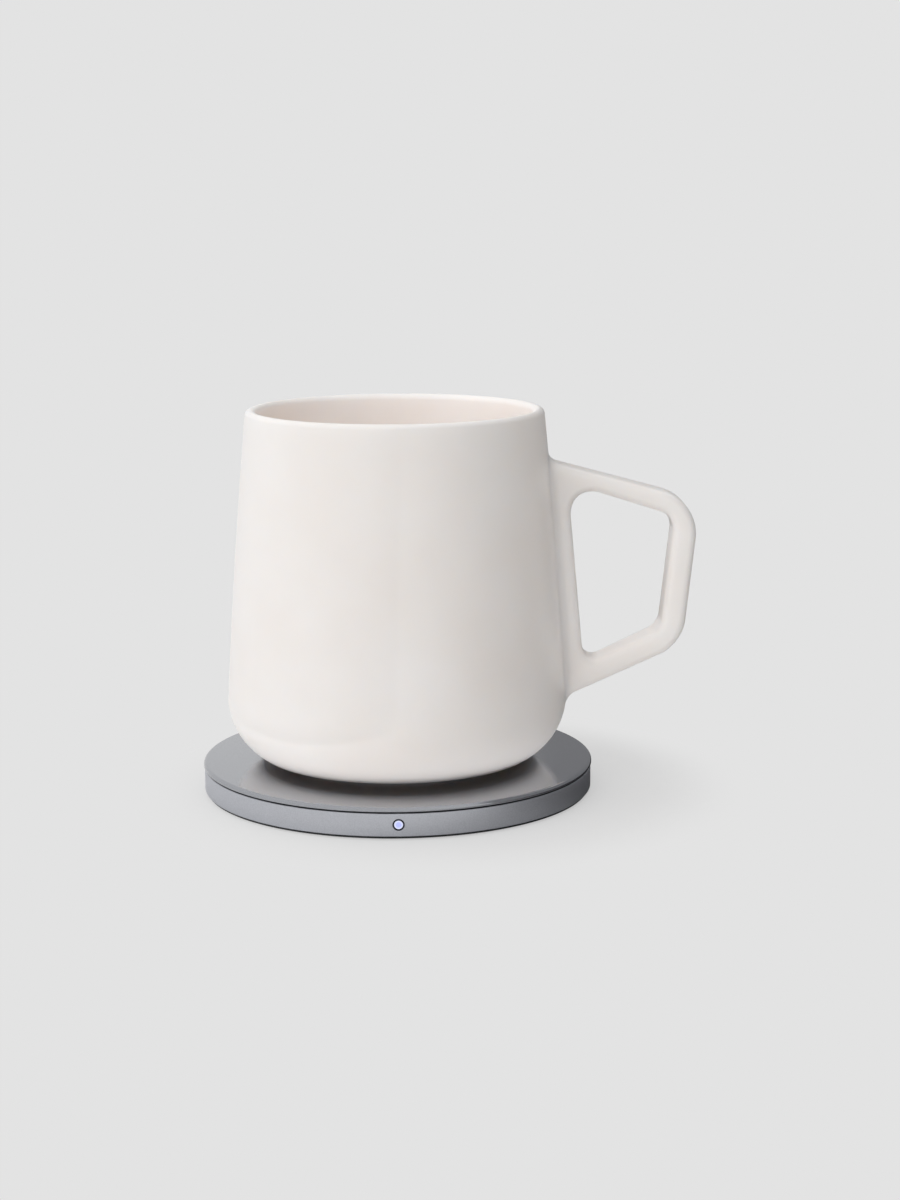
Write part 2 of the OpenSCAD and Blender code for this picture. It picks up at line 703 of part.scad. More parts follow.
module ferrite_disc() color("#3d3a38") difference() {
    translate([0, 0, ferrite_z]) cylinder(r = ferrite_r, h = ferrite_t);
    translate([0, 0, ferrite_z - skip]) cylinder(d = ferrite_bore_d, h = ferrite_t + 2 * skip);
    lead_cuts();
}

// Flat spiral of litz wire, swept as one tube
module power_coil() color("#b4682f") polyhedron(
    points = [for (s = coil_line) each wire_ring(s)],
    faces = concat(grid_faces(len(coil_line), wire_sides, false),
                   end_faces(len(coil_line), wire_sides)));

// The two ends of the coil, from the winding down to the board
module coil_leads() color("#b4682f")
    for (r = lead_r) translate([r, 0, board_top])
        cylinder(d = lead_d, h = coil_z - wire_flat - board_top);

// Silicone sleeve that presses the sensor against the cover
module thermistor_boot() color("#c9c4bb") difference() {
    translate([0, 0, ferrite_z]) cylinder(d = boot_d, h = cover_z - ferrite_z);
    translate([0, 0, cover_z - sensor_h]) cylinder(d = sensor_d + 2 * bond_gap, h = sensor_h + skip);
}

module thermistor() color("#5a3a2a")
    translate([0, 0, cover_z - sensor_h]) cylinder(d = sensor_d, h = sensor_h);

// Outer form of the mug up to the lip's middle, in radius and height
module mug_outline() {
    polygon(concat(
        [[0, corner_end.y]],
        bow_arc(wall_bow_r, corner_end.y, lip_c.y + lip_r * lip_dir.y),
        [lip_c - lip_c.x / lip_dir.x * lip_dir]));
    intersection() {
        translate(corner_c) circle(r = corner_r);
        translate([0, foot_z]) square([body_d, corner_end.y - foot_z]);
    }
    translate([0, foot_z]) square([corner_c.x, corner_end.y - foot_z]);
}

// Space for the drink, from its floor to above the lip
module mug_cavity() {
    polygon(concat(
        [[0, inner_end.y]],
        bow_arc(inner_bow_r, inner_end.y, foot_z + mug_h + skip),
        [[0, foot_z + mug_h + skip]]));
    intersection() {
        translate(inner_c) circle(r = inner_corner_r);
        translate([0, floor_z]) square([body_d, inner_end.y - floor_z]);
    }
    translate([0, floor_z]) square([inner_c.x, inner_end.y - floor_z]);
}

// Porcelain shell with a round lip and the heating recess in its foot
module mug_body() color("#f2efeb") difference() {
    rotate_extrude($fn = 2 * $fn) {
        difference() {
            mug_outline();
            mug_cavity();
        }
        translate(lip_c) circle(r = lip_r);
    }
    translate([0, 0, foot_z - skip]) cylinder(r = recess_r, h = recess_z - foot_z + skip);
}

// Closed loop lofted round the finger hole, flared where it grows out of the wall
module mug_handle() color("#f2efeb") difference() {
    polyhedron(points = [for (i = [0 : stations - 1]) each handle_ring(i)],
               faces = grid_faces(stations, len(handle_ring(0)), true));
    rotate_extrude($fn = 2 * $fn) mug_outline();
}

module heating_plate() color("#9a9ca0")
    translate([0, 0, plate_z]) cylinder(r = disc_r, h = plate_t);

module insulating_disc() color("#d8d2c0")
    translate([0, 0, insulator_z]) cylinder(r = disc_r, h = insulator_t);

// Cap that closes the recess, with a groove for its seal
module base_cap() color("#e6e3de") difference() {
    translate([0, 0, cap_z]) cylinder(r = cap_r, h = cap_t);
    translate([0, 0, cap_z + (cap_t - seal_d) / 2 - bond_gap]) difference() {
        cylinder(r = recess_r, h = seal_d + 2 * bond_gap);
        translate([0, 0, -skip]) cylinder(r = cap_r - groove_depth, h = seal_d + 2 * skip);
    }
}

module base_seal() color("#b8b4ae")
    translate([0, 0, cap_z + cap_t / 2]) rotate_extrude()
        translate([cap_r - groove_depth + seal_d / 2, 0]) circle(d = seal_d - bond_gap);

top_cover();
metal_ring();
base_cover();
foot_mat();
cover_screws();
indicator_bezel();
indicator_lens();
indicator_led();
main_board();
controller_chip();
bridge_chips();
resonance_capacitors();
filter_inductor();
usb_socket();
usb_tongue();
coil_tray();
ferrite_disc();
power_coil();
coil_leads();
thermistor_boot();
thermistor();
mug_body();
mug_handle();
heating_plate();
insulating_disc();
base_cap();
base_seal();
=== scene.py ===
import json
import math

import bmesh
import bpy
from mathutils import Matrix, Vector

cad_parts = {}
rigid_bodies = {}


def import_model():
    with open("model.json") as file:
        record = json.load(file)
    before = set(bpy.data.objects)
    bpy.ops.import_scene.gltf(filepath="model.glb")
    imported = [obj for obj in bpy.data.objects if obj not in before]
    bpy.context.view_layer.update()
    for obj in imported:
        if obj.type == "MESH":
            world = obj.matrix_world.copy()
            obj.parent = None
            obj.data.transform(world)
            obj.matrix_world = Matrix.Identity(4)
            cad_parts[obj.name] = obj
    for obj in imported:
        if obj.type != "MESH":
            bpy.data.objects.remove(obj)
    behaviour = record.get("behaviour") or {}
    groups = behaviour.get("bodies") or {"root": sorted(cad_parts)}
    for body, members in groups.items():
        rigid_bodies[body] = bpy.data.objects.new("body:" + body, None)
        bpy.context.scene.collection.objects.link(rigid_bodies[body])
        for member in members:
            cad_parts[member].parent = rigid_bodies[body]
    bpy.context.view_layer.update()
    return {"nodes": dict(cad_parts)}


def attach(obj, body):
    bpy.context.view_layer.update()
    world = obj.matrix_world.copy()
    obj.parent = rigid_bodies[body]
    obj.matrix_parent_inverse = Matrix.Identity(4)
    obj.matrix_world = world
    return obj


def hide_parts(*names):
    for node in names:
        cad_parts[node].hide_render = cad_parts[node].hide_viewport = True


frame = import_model()
print("frame loaded,", len(frame["nodes"]), "nodes")

mm = 0.001  # sizes below are in millimetres, the scene is in metres
padTop = 8.3  # where the mug stands
openingZ = 3.9  # middle of the indicator and of the power inlet
mergeGap = 0.0005  # points closer than this are one
squareTurn = 60  # degrees, an edge that turns more than this is a square one
noiseSpan = (0.35, 0.65)  # stretch of a noise pattern that goes from one tone to the other
scene = bpy.context.scene


# Camera: lens and place were solved from the ellipses of the lip and the pad
camera = {
    "place": (0.0, -596.4, 164.3),
    "pitch": 10.87,  # degrees down
    "yaw": 1.34,  # degrees towards the handle
    "roll": -0.27,
    "lens": 69.8,
    "sensor": 36.0,
}
camData = bpy.data.cameras.new("camera")
camData.lens = camera["lens"]
camData.sensor_width = camera["sensor"]
camObject = bpy.data.objects.new("camera", camData)
camTurn = (
    Matrix.Rotation(math.radians(-camera["yaw"]), 4, "Z")
    @ Matrix.Rotation(math.radians(90 - camera["pitch"]), 4, "X")
    @ Matrix.Rotation(math.radians(camera["roll"]), 4, "Z")
)
camObject.matrix_world = Matrix.Translation(Vector(camera["place"]) * mm) @ camTurn
scene.collection.objects.link(camObject)
scene.camera = camObject
print("camera set")


# An sRGB hex value as linear light
def linear(hexColour):
    channels = [int(hexColour[i : i + 2], 16) / 255 for i in (1, 3, 5)]
    return [c / 12.92 if c <= 0.04045 else ((c + 0.055) / 1.055) ** 2.4 for c in channels] + [1.0]


def addNode(tree, kind, values=None, links=None, stops=(), **settings):
    made = tree.nodes.new("ShaderNode" + kind)
    for name, value in settings.items():
        setattr(made, name, value)
    for socket, value in (values or {}).items():
        made.inputs[socket].default_value = value
    for socket, source in (links or {}).items():
        tree.links.new(source, made.inputs[socket])
    for i, (position, hexColour) in enumerate(stops):
        made.color_ramp.elements[i].position = position
        made.color_ramp.elements[i].color = linear(hexColour)
    return made


def newMaterial(name):
    material = bpy.data.materials.new(name)
    material.use_nodes = True
    tree = material.node_tree
    shader = tree.nodes["Principled BSDF"]
    place = addNode(tree, "TexCoord").outputs["Object"]
    return material, tree, shader, place


# A profile is drawn as x and z, and then turned
def startAt(bm, x, z):
    return bm.verts.new((x * mm, 0, z * mm))


def lineTo(bm, last, x, z):
    made = bmesh.ops.extrude_vert_indiv(bm, verts=[last])["verts"][0]
    made.co = (x * mm, 0, z * mm)
    return made


# Degrees count from +X towards +Z
def arcTo(bm, last, centre, degrees, steps):
    made = bmesh.ops.spin(
        bm,
        geom=[last],
        cent=(centre.x * mm, 0, centre.y * mm),
        axis=(0, -1, 0),
        angle=math.radians(degrees),
        steps=steps,
    )
    return made["geom_last"][0]


# A full turn of the drawn profile about Z, with its seam and poles closed
def turnProfile(bm, steps):
    bmesh.ops.spin(
        bm,
        geom=bm.verts[:] + bm.edges[:],
        cent=(0, 0, 0),
        axis=(0, 0, 1),
        angle=2 * math.pi,
        steps=steps,
        use_merge=True,
    )
    bmesh.ops.remove_doubles(bm, verts=bm.verts, dist=mergeGap * mm)
    bmesh.ops.recalc_face_normals(bm, faces=bm.faces)


# A ring whose section has these corners
def turnRing(bm, corners, steps):
    pen = first = startAt(bm, *corners[0])
    for corner in corners[1:]:
        pen = lineTo(bm, pen, *corner)
    bm.edges.new((pen, first))
    turnProfile(bm, steps)


def sharpEdges(bm, degrees):
    limit = math.radians(degrees)
    return [e for e in bm.edges if e.is_manifold and e.calc_face_angle() > limit]


def softenEdges(bm, edges, width, segments):
    bmesh.ops.bevel(
        bm,
        geom=edges,
        offset=width * mm,
        offset_type="OFFSET",
        segments=segments,
        profile=0.5,
        affect="EDGES",
        clamp_overlap=True,
        loop_slide=False,
        material=-1,
    )


def meshObject(name, bm, *materials):
    mesh = bpy.data.meshes.new(name)
    bm.to_mesh(mesh)
    bm.free()
    for material in materials:
        mesh.materials.append(material)
    made = bpy.data.objects.new(name, mesh)
    scene.collection.objects.link(made)
    return made


def finishPiece(name, bm, material, body, nodes, creaseAngle=40):
    for face in bm.faces:
        face.smooth = True
    for edge in sharpEdges(bm, creaseAngle):
        edge.smooth = False
    piece = meshObject(name, bm, material)
    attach(piece, body)
    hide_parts(*nodes)
    return piece


# Porcelain, cast and glazed: a satin white skin with a faint unevenness and a bare foot ring
porcelain = {
    "glaze": ("#f7f1ed", "#fbf5f2"),  # where it is thin and where it is thick
    "bareClay": "#e2dcd2",
    "glazeRough": 0.34,
    "bareRough": 0.7,
    "cloudSize": 24.0,  # drift of the glaze's thickness
    "rippleSize": 5.0,  # soft ripple of the fired glaze
    "rippleDepth": 0.004,
    "rippleStrength": 0.5,
    "ior": 1.5,
    "bleed": 4.0,  # how far light wanders in the body
    "bleedShare": 0.5,
    "bleedTint": (1.0, 0.9, 0.8),
    "footBand": 0.35,  # height over which the glaze starts
}
porcelainMat, tree, shader, place = newMaterial("glazedPorcelain")
clouds = addNode(
    tree,
    "TexNoise",
    {"Scale": 1 / (porcelain["cloudSize"] * mm), "Detail": 2.0, "Roughness": 0.4},
    {"Vector": place},
)
cloudRamp = addNode(
    tree,
    "ValToRGB",
    links={"Fac": clouds.outputs["Fac"]},
    stops=zip(noiseSpan, porcelain["glaze"]),
)
split = addNode(tree, "SeparateXYZ", links={"Vector": place})
glazed = addNode(
    tree,
    "MapRange",
    {"From Min": padTop * mm, "From Max": (padTop + porcelain["footBand"]) * mm},
    {"Value": split.outputs["Z"]},
)
skinColour = addNode(
    tree,
    "Mix",
    {"A": linear(porcelain["bareClay"])},
    {"Factor": glazed.outputs["Result"], "B": cloudRamp.outputs["Color"]},
    data_type="RGBA",
)
skinRough = addNode(
    tree,
    "MapRange",
    {"To Min": porcelain["bareRough"], "To Max": porcelain["glazeRough"]},
    {"Value": glazed.outputs["Result"]},
)
ripple = addNode(
    tree,
    "TexNoise",
    {"Scale": 1 / (porcelain["rippleSize"] * mm), "Detail": 1.0},
    {"Vector": place},
)
rippleBump = addNode(
    tree,
    "Bump",
    {"Strength": porcelain["rippleStrength"], "Distance": porcelain["rippleDepth"] * mm},
    {"Height": ripple.outputs["Fac"]},
)
shader.inputs["IOR"].default_value = porcelain["ior"]
shader.inputs["Subsurface Weight"].default_value = porcelain["bleedShare"]
shader.inputs["Subsurface Radius"].default_value = porcelain["bleedTint"]
shader.inputs["Subsurface Scale"].default_value = porcelain["bleed"] * mm
tree.links.new(skinColour.outputs["Result"], shader.inputs["Base Color"])
tree.links.new(skinRough.outputs["Result"], shader.inputs["Roughness"])
tree.links.new(rippleBump.outputs["Normal"], shader.inputs["Normal"])


# Mug shell: foot ring with an undercut, round corner, gently bowed wall and a full round lip
mug = {
    "height": 91.8,
    "rimD": 77.0,
    "bodyD": 88.5,
    "cornerR": 17.0,
    "cornerDrop": 0.4,  # the corner's lowest point would lie this far below the foot
    "rollR": 1.2,  # the corner rolls under more tightly near the foot ring
    "rollFrom": 60.0,  # degrees below level
    "bowR": 2000.0,
    "wallT": 2.9,
    "recessR": 25.0,
    "recessZ": 11.7,
    "footRingR": 26.6,
    "footEdge": 0.35,
    "floorZ": 15.7,
    "innerCornerR": 11.0,
    "steps": 192,
    "rollSteps": 8,
    "cornerSteps": 28,
    "wallSteps": 24,
    "lipSteps": 16,
    "edgeSegments": 3,
}
lipR = mug["wallT"] / 2
cornerZ = padTop + mug["cornerR"] - mug["cornerDrop"]
cornerC = Vector((mug["bodyD"] / 2 - mug["cornerR"], cornerZ))
lipC = Vector((mug["rimD"] / 2 - lipR, padTop + mug["height"] - lipR))
rollTurn = math.radians(mug["rollFrom"])
rollC = cornerC + (mug["cornerR"] - mug["rollR"]) * Vector((math.cos(rollTurn), -math.sin(rollTurn)))
rollZ = rollC.y - mug["rollR"]

# The bow's centre lies where its circle touches the corner's and the lip's
cornerReach = mug["bowR"] - mug["cornerR"]
lipReach = mug["bowR"] - lipR
rise = lipC - cornerC
riseShare = (cornerReach**2 - lipReach**2 + rise.length_squared) / (2 * rise.length)
bowSide = math.sqrt(cornerReach**2 - riseShare**2)
bowC = cornerC + riseShare * rise.normalized() + bowSide * Vector((-rise.y, rise.x)).normalized()
innerReach = mug["bowR"] - mug["wallT"] - mug["innerCornerR"]
innerZ = mug["floorZ"] + mug["innerCornerR"]
innerC = Vector((bowC.x + math.sqrt(innerReach**2 - (innerZ - bowC.y) ** 2), innerZ))


def lean(point):
    return math.degrees(math.atan2(point.y - bowC.y, point.x - bowC.x))


def wallRadius(z):
    if z < cornerC.y:
        return cornerC.x + math.sqrt(mug["cornerR"] ** 2 - (z - cornerC.y) ** 2)
    return bowC.x + math.sqrt(mug["bowR"] ** 2 - (z - bowC.y) ** 2)


bm = bmesh.new()
pen = startAt(bm, 0, mug["recessZ"])
pen = lineTo(bm, pen, mug["recessR"], mug["recessZ"])
pen = lineTo(bm, pen, mug["recessR"], padTop)
pen = lineTo(bm, pen, mug["footRingR"], padTop)
pen = lineTo(bm, pen, mug["footRingR"], rollZ)
pen = lineTo(bm, pen, rollC.x, rollZ)
pen = arcTo(bm, pen, rollC, 90 - mug["rollFrom"], mug["rollSteps"])
pen = arcTo(bm, pen, cornerC, mug["rollFrom"] + lean(cornerC), mug["cornerSteps"])
pen = arcTo(bm, pen, bowC, lean(lipC) - lean(cornerC), mug["wallSteps"])
pen = arcTo(bm, pen, lipC, 180, mug["lipSteps"])
pen = arcTo(bm, pen, bowC, lean(innerC) - lean(lipC), mug["wallSteps"])
pen = arcTo(bm, pen, innerC, -90 - lean(innerC), mug["cornerSteps"])
lineTo(bm, pen, 0, mug["floorZ"])
turnProfile(bm, mug["steps"])
softenEdges(bm, sharpEdges(bm, squareTurn), mug["footEdge"], mug["edgeSegments"])
mugShell = finishPiece("mugShell", bm, porcelainMat, "mug", ["mug_body"])
print("mug shell turned")


# Handle: a flat loop with round corners, thickened, rounded and flared into the wall
handle = {
    "outer": [  # x, z and corner radius
        (20.0, 91.83, 8.0),
        (78.65, 75.90, 11.4),
        (74.42, 38.20, 10.8),
        (20.0, 13.86, 8.0),
    ],
    "hole": [
        (44.35, 80.94, 6.0),
        (71.99, 72.12, 4.8),
        (68.65, 42.41, 5.0),
        (48.69, 32.94, 3.5),
    ],
    "depth": 11.0,
    "edgeR": 3.2,
    "edgeTurn": 0.5,  # change of the sideways normal across a long edge
    "rootR": 2.2,
    "topRoot": 86.5,
    "lowRoot": 24.7,
    "topSlope": -15.2,  # degrees, going outwards
    "lowSlope": 24.1,
    "sink": 1.2,  # depth of the luted root in the wall
    "cutMargin": 0.001,
    "endShare": 0.05,  # the root is tall and thin, so its height counts for less
    "endTilt": 0.02,  # a flare with less height than this is on a long side
    "cornerSegments": 12,
    "edgeSegments": 8,
    "rootSteps": 9,
    "rootPitch": 1.2,
}


def roundedLoop(bm, corners):
    verts = [startAt(bm, x, z) for x, z, radius in corners]
    bm.faces.new(verts)
    offsets = []
    for i, (x, z, radius) in enumerate(corners):
        back = verts[i - 1].co - verts[i].co
        ahead = verts[(i + 1) % len(verts)].co - verts[i].co
        offsets.append(radius * mm / math.tan(back.angle(ahead) / 2))
    for vert, offset in zip(verts, offsets):
        bmesh.ops.bevel(
            bm,
            geom=[vert],
            offset=offset,
            offset_type="OFFSET",
            segments=handle["cornerSegments"],
            profile=0.5,
            affect="VERTICES",
            clamp_overlap=False,
            material=-1,
        )


def isLongEdge(edge):
    sideways = [abs(face.normal.y) for face in edge.link_faces]
    return abs(sideways[0] - sideways[1]) > handle["edgeTurn"]


bm = bmesh.new()
roundedLoop(bm, handle["outer"])
roundedLoop(bm, handle["hole"])
bmesh.ops.delete(bm, geom=bm.faces[:], context="FACES_ONLY")
bmesh.ops.bridge_loops(bm, edges=bm.edges[:])
bmesh.ops.translate(bm, verts=bm.verts, vec=(0, -handle["depth"] / 2 * mm, 0))
back = bmesh.ops.extrude_face_region(bm, geom=bm.faces[:])["geom"]
backVerts = [g for g in back if isinstance(g, bmesh.types.BMVert)]
bmesh.ops.translate(bm, verts=backVerts, vec=(0, handle["depth"] * mm, 0))
bmesh.ops.recalc_face_normals(bm, faces=bm.faces)
longEdges = [e for e in bm.edges if isLongEdge(e)]
softenEdges(bm, longEdges, handle["edgeR"], handle["edgeSegments"])

# The wall side is cut off a fillet's width from the wall
topCut = Vector(((wallRadius(handle["topRoot"]) + handle["rootR"]) * mm, 0, handle["topRoot"] * mm))
lowCut = Vector(((wallRadius(handle["lowRoot"]) + handle["rootR"]) * mm, 0, handle["lowRoot"] * mm))
cutNormal = (topCut - lowCut).cross(Vector((0, -1, 0)))
if cutNormal.x < 0:
    cutNormal.negate()
bmesh.ops.bisect_plane(
    bm,
    geom=bm.verts[:] + bm.edges[:] + bm.faces[:],
    dist=handle["cutMargin"] * mm,
    plane_co=topCut,
    plane_no=cutNormal,
    clear_inner=True,
)
rim = [e for e in bm.edges if e.is_boundary]
for edge in rim:
    cuts = int(edge.calc_length() / (handle["rootPitch"] * mm))
    if cuts > 0:
        bmesh.ops.bisect_edges(bm, edges=[edge], cuts=cuts)
rim = [e for e in bm.edges if e.is_boundary]

# Each point of the cut keeps its place, the way it flares and the way its arm slopes
base = bm.verts.layers.float_vector.new("base")
flare = bm.verts.layers.float_vector.new("flare")
slide = bm.verts.layers.float_vector.new("slide")
wallNormal = cutNormal.normalized()
middle = Vector((0, 0, (handle["topRoot"] + handle["lowRoot"]) / 2 * mm))
for vert in {v for e in rim for v in e.verts}:
    near = [e.other_vert(vert).co for e in vert.link_edges if e.is_boundary]
    out = (near[1] - near[0]).cross(wallNormal).normalized()
    away = vert.co - middle
    if out.y * away.y + out.z * away.z * handle["endShare"] < 0:
        out.negate()
    vert[base] = vert.co
    vert[flare] = out
    slope = 0.0
    if abs(out.z) > handle["endTilt"]:
        slope = handle["topSlope"] if out.z > 0 else handle["lowSlope"]
    vert[slide] = Vector((0, 0, -math.tan(math.radians(slope))))


def ontoWall(vert, gap):
    reach = wallRadius(vert.co.z / mm) + gap
    vert.co.x = math.sqrt((reach * mm) ** 2 - vert.co.y**2)


def extrudeRim(bm, rim):
    made = bmesh.ops.extrude_edge_only(bm, edges=rim)["geom"]
    return [g for g in made if isinstance(g, bmesh.types.BMEdge)]


for step in range(handle["rootSteps"] + 1):
    turn = math.pi / 2 * step / handle["rootSteps"]
    gap = handle["rootR"] * (1 - math.sin(turn))
    push = handle["rootR"] * (1 - math.cos(turn))
    if step > 0:
        rim = extrudeRim(bm, rim)
    for vert in {v for e in rim for v in e.verts}:
        along = (handle["rootR"] - gap) * mm
        vert.co = vert[base] + vert[slide] * along + vert[flare] * push * mm
        ontoWall(vert, gap)
rim = extrudeRim(bm, rim)
for vert in {v for e in rim for v in e.verts}:
    ontoWall(vert, -handle["sink"])
bmesh.ops.holes_fill(bm, edges=rim)
for layer in (base, flare, slide):
    bm.verts.layers.float_vector.remove(layer)
bmesh.ops.recalc_face_normals(bm, faces=bm.faces)
mugHandle = finishPiece("mugHandle", bm, porcelainMat, "mug", ["mug_handle"])
print("handle lofted")


# Satin metallic paint: fine flakes in a smooth coat that mirrors the mug at a flat angle
coverCoat = {
    "tones": ("#abadb2", "#b3b5ba"),
    "metal": 1.0,
    "rough": (0.12, 0.17),
    "fleck": 0.35,  # pigment fleck, drawn coarser than the real one so that it shows
    "fleckSpan": (0.3, 0.7),
    "cloudSize": 30.0,  # drift of the gloss
    "grainDepth": 0.002,
    "grainStrength": 0.2,
}
coverMat, tree, shader, place = newMaterial("satinPaint")
flecks = addNode(
    tree,
    "TexNoise",
    {"Scale": 1 / (coverCoat["fleck"] * mm), "Detail": 2.0},
    {"Vector": place},
)
coverTone = addNode(
    tree,
    "ValToRGB",
    links={"Fac": flecks.outputs["Fac"]},
    stops=zip(coverCoat["fleckSpan"], coverCoat["tones"]),
)
handling = addNode(
    tree,
    "TexNoise",
    {"Scale": 1 / (coverCoat["cloudSize"] * mm), "Detail": 3.0},
    {"Vector": place},
)
coverRough = addNode(
    tree,
    "MapRange",
    {"To Min": coverCoat["rough"][0], "To Max": coverCoat["rough"][1]},
    {"Value": handling.outputs["Fac"]},
)
coverBump = addNode(
    tree,
    "Bump",
    {"Strength": coverCoat["grainStrength"], "Distance": coverCoat["grainDepth"] * mm},
    {"Height": flecks.outputs["Fac"]},
)
shader.inputs["Metallic"].default_value = coverCoat["metal"]
tree.links.new(coverTone.outputs["Color"], shader.inputs["Base Color"])
tree.links.new(coverRough.outputs["Result"], shader.inputs["Roughness"])
tree.links.new(coverBump.outputs["Normal"], shader.inputs["Normal"])


# Aluminium ring, bead blasted and anodised grey: a fine even grit that spreads its highlights
ringAlloy = {
    "tones": ("#c4c6cc", "#cfd1d7"),
    "metal": 1.0,
    "rough": (0.4, 0.5),
    "grit": 0.3,  # blast marks, drawn coarser than the real ones so that they show
    "gritDepth": 0.012,
    "gritStrength": 0.35,
}
ringMat, tree, shader, place = newMaterial("anodisedAluminium")
grit = addNode(
    tree,
    "TexNoise",
    {"Scale": 1 / (ringAlloy["grit"] * mm), "Detail": 2.0, "Roughness": 0.6},
    {"Vector": place},
)
ringTone = addNode(
    tree,
    "ValToRGB",
    links={"Fac": grit.outputs["Fac"]},
    stops=zip(noiseSpan, ringAlloy["tones"]),
)
ringRough = addNode(
    tree,
    "MapRange",
    {"To Min": ringAlloy["rough"][0], "To Max": ringAlloy["rough"][1]},
    {"Value": grit.outputs["Fac"]},
)
ringBump = addNode(
    tree,
    "Bump",
    {"Strength": ringAlloy["gritStrength"], "Distance": ringAlloy["gritDepth"] * mm},
    {"Height": grit.outputs["Fac"]},
)
shader.inputs["Metallic"].default_value = ringAlloy["metal"]
tree.links.new(ringTone.outputs["Color"], shader.inputs["Base Color"])
tree.links.new(ringRough.outputs["Result"], shader.inputs["Roughness"])
tree.links.new(ringBump.outputs["Normal"], shader.inputs["Normal"])


# Finishes of the other pieces: two close tones, size and relief of the grain, roughness, metalness
finishes = {
    "mouldedDarkPlastic": ("#202124", "#28292c", 0.4, 0.01, 0.55, 0.0),  # even, dull sheen
    "mattSilicone": ("#333436", "#3b3c3e", 0.6, 0.02, 0.75, 0.0),  # soft and dusty
    "glossBlackSleeve": ("#0f1226", "#14172c", 0.5, 0.001, 0.2, 0.0),  # one small, sharp glint
    "stampedSteel": ("#c6c7ca", "#b4b5b8", 0.25, 0.003, 0.3, 1.0),  # bright, dulled by the die
    "solderMask": ("#17573a", "#1d6344", 1.5, 0.004, 0.3, 0.0),  # thin gloss on a woven board
    "mouldedEpoxy": ("#1b1b1d", "#242427", 0.2, 0.004, 0.5, 0.0),  # dull black with a fine grain
    "firedCapacitor": ("#a88353", "#b9935f", 0.3, 0.004, 0.45, 0.0),  # dry brown ceramic
    "sinteredFerrite": ("#3a3735", "#45423f", 0.3, 0.006, 0.6, 0.0),  # dark and grainy
    "heatProofPlastic": ("#d2cfc4", "#dbd8ce", 0.6, 0.006, 0.5, 0.0),  # pale and chalky
    "enamelledCopper": ("#b3612c", "#c4743a", 0.3, 0.01, 0.35, 1.0),  # warm metal under varnish
    "paleSilicone": ("#c4c0b7", "#cecac2", 0.6, 0.01, 0.65, 0.0),  # soft and milky
    "dippedResin": ("#55341f", "#614029", 0.5, 0.004, 0.25, 0.0),  # a rounded, wet-looking bead
    "pressedMica": ("#cfc8b3", "#dcd6c4", 1.2, 0.01, 0.4, 0.0),  # pale flakes with a slight gloss
    "mouldedCapPlastic": ("#e3e0da", "#e9e6e1", 0.7, 0.006, 0.45, 0.0),  # even and off-white
    "castResin": ("#f0ecd0", "#f6f3de", 0.4, 0.002, 0.25, 0.0),  # glossy and yellowish
}
roughSpread = 0.05
grainStrength = 0.4
finishMats = {}
for finishName, (first, second, grainSize, relief, rough, metal) in finishes.items():
    material, tree, shader, place = newMaterial(finishName)
    grain = addNode(
        tree,
        "TexNoise",
        {"Scale": 1 / (grainSize * mm), "Detail": 3.0},
        {"Vector": place},
    )
    tone = addNode(
        tree,
        "ValToRGB",
        links={"Fac": grain.outputs["Fac"]},
        stops=zip(noiseSpan, (first, second)),
    )
    roughRange = addNode(
        tree,
        "MapRange",
        {"To Min": rough - roughSpread, "To Max": rough + roughSpread},
        {"Value": grain.outputs["Fac"]},
    )
    bump = addNode(
        tree,
        "Bump",
        {"Strength": grainStrength, "Distance": relief * mm},
        {"Height": grain.outputs["Fac"]},
    )
    shader.inputs["Metallic"].default_value = metal
    tree.links.new(tone.outputs["Color"], shader.inputs["Base Color"])
    tree.links.new(roughRange.outputs["Result"], shader.inputs["Roughness"])
    tree.links.new(bump.outputs["Normal"], shader.inputs["Normal"])
    finishMats[finishName] = material
nodeFinishes = {
    "base_cover": "mouldedDarkPlastic",
    "usb_tongue": "mouldedDarkPlastic",
    "foot_mat": "mattSilicone",
    "indicator_bezel": "glossBlackSleeve",
    "usb_socket": "stampedSteel",
    "cover_screws": "stampedSteel",
    "heating_plate": "stampedSteel",
    "main_board": "solderMask",
    "controller_chip": "mouldedEpoxy",
    "bridge_chips": "mouldedEpoxy",
    "resonance_capacitors": "firedCapacitor",
    "filter_inductor": "sinteredFerrite",
    "ferrite_disc": "sinteredFerrite",
    "coil_tray": "heatProofPlastic",
    "power_coil": "enamelledCopper",
    "coil_leads": "enamelledCopper",
    "thermistor_boot": "paleSilicone",
    "base_seal": "paleSilicone",
    "thermistor": "dippedResin",
    "insulating_disc": "pressedMica",
    "base_cap": "mouldedCapPlastic",
    "indicator_led": "castResin",
}
for nodeName, finishName in nodeFinishes.items():
    frame["nodes"][nodeName].material_slots[0].material = finishMats[finishName]
print("finishes made")


# Pad cover: a disc with a rounded edge that overhangs the ring a little
padCover = {
    "radius": 51.0,
    "midR": 25.5,
    "under": 7.15,
    "edgeR": 0.9,
    "ease": 0.08,
    "steps": 256,
    "edgeSteps": 10,
    "easeSegments": 2,
}
edgeC = Vector((padCover["radius"] - padCover["edgeR"], padTop - padCover["edgeR"]))
bm = bmesh.new()
pen = startAt(bm, 0, padCover["under"])
pen = lineTo(bm, pen, padCover["radius"], padCover["under"])
pen = lineTo(bm, pen, padCover["radius"], edgeC.y)
pen = arcTo(bm, pen, edgeC, 90, padCover["edgeSteps"])
pen = lineTo(bm, pen, padCover["midR"], padTop)
lineTo(bm, pen, 0, padTop)
turnProfile(bm, padCover["steps"])
softenEdges(bm, sharpEdges(bm, squareTurn), padCover["ease"], padCover["easeSegments"])
finishPiece("padCover", bm, coverMat, "pad", ["top_cover"])


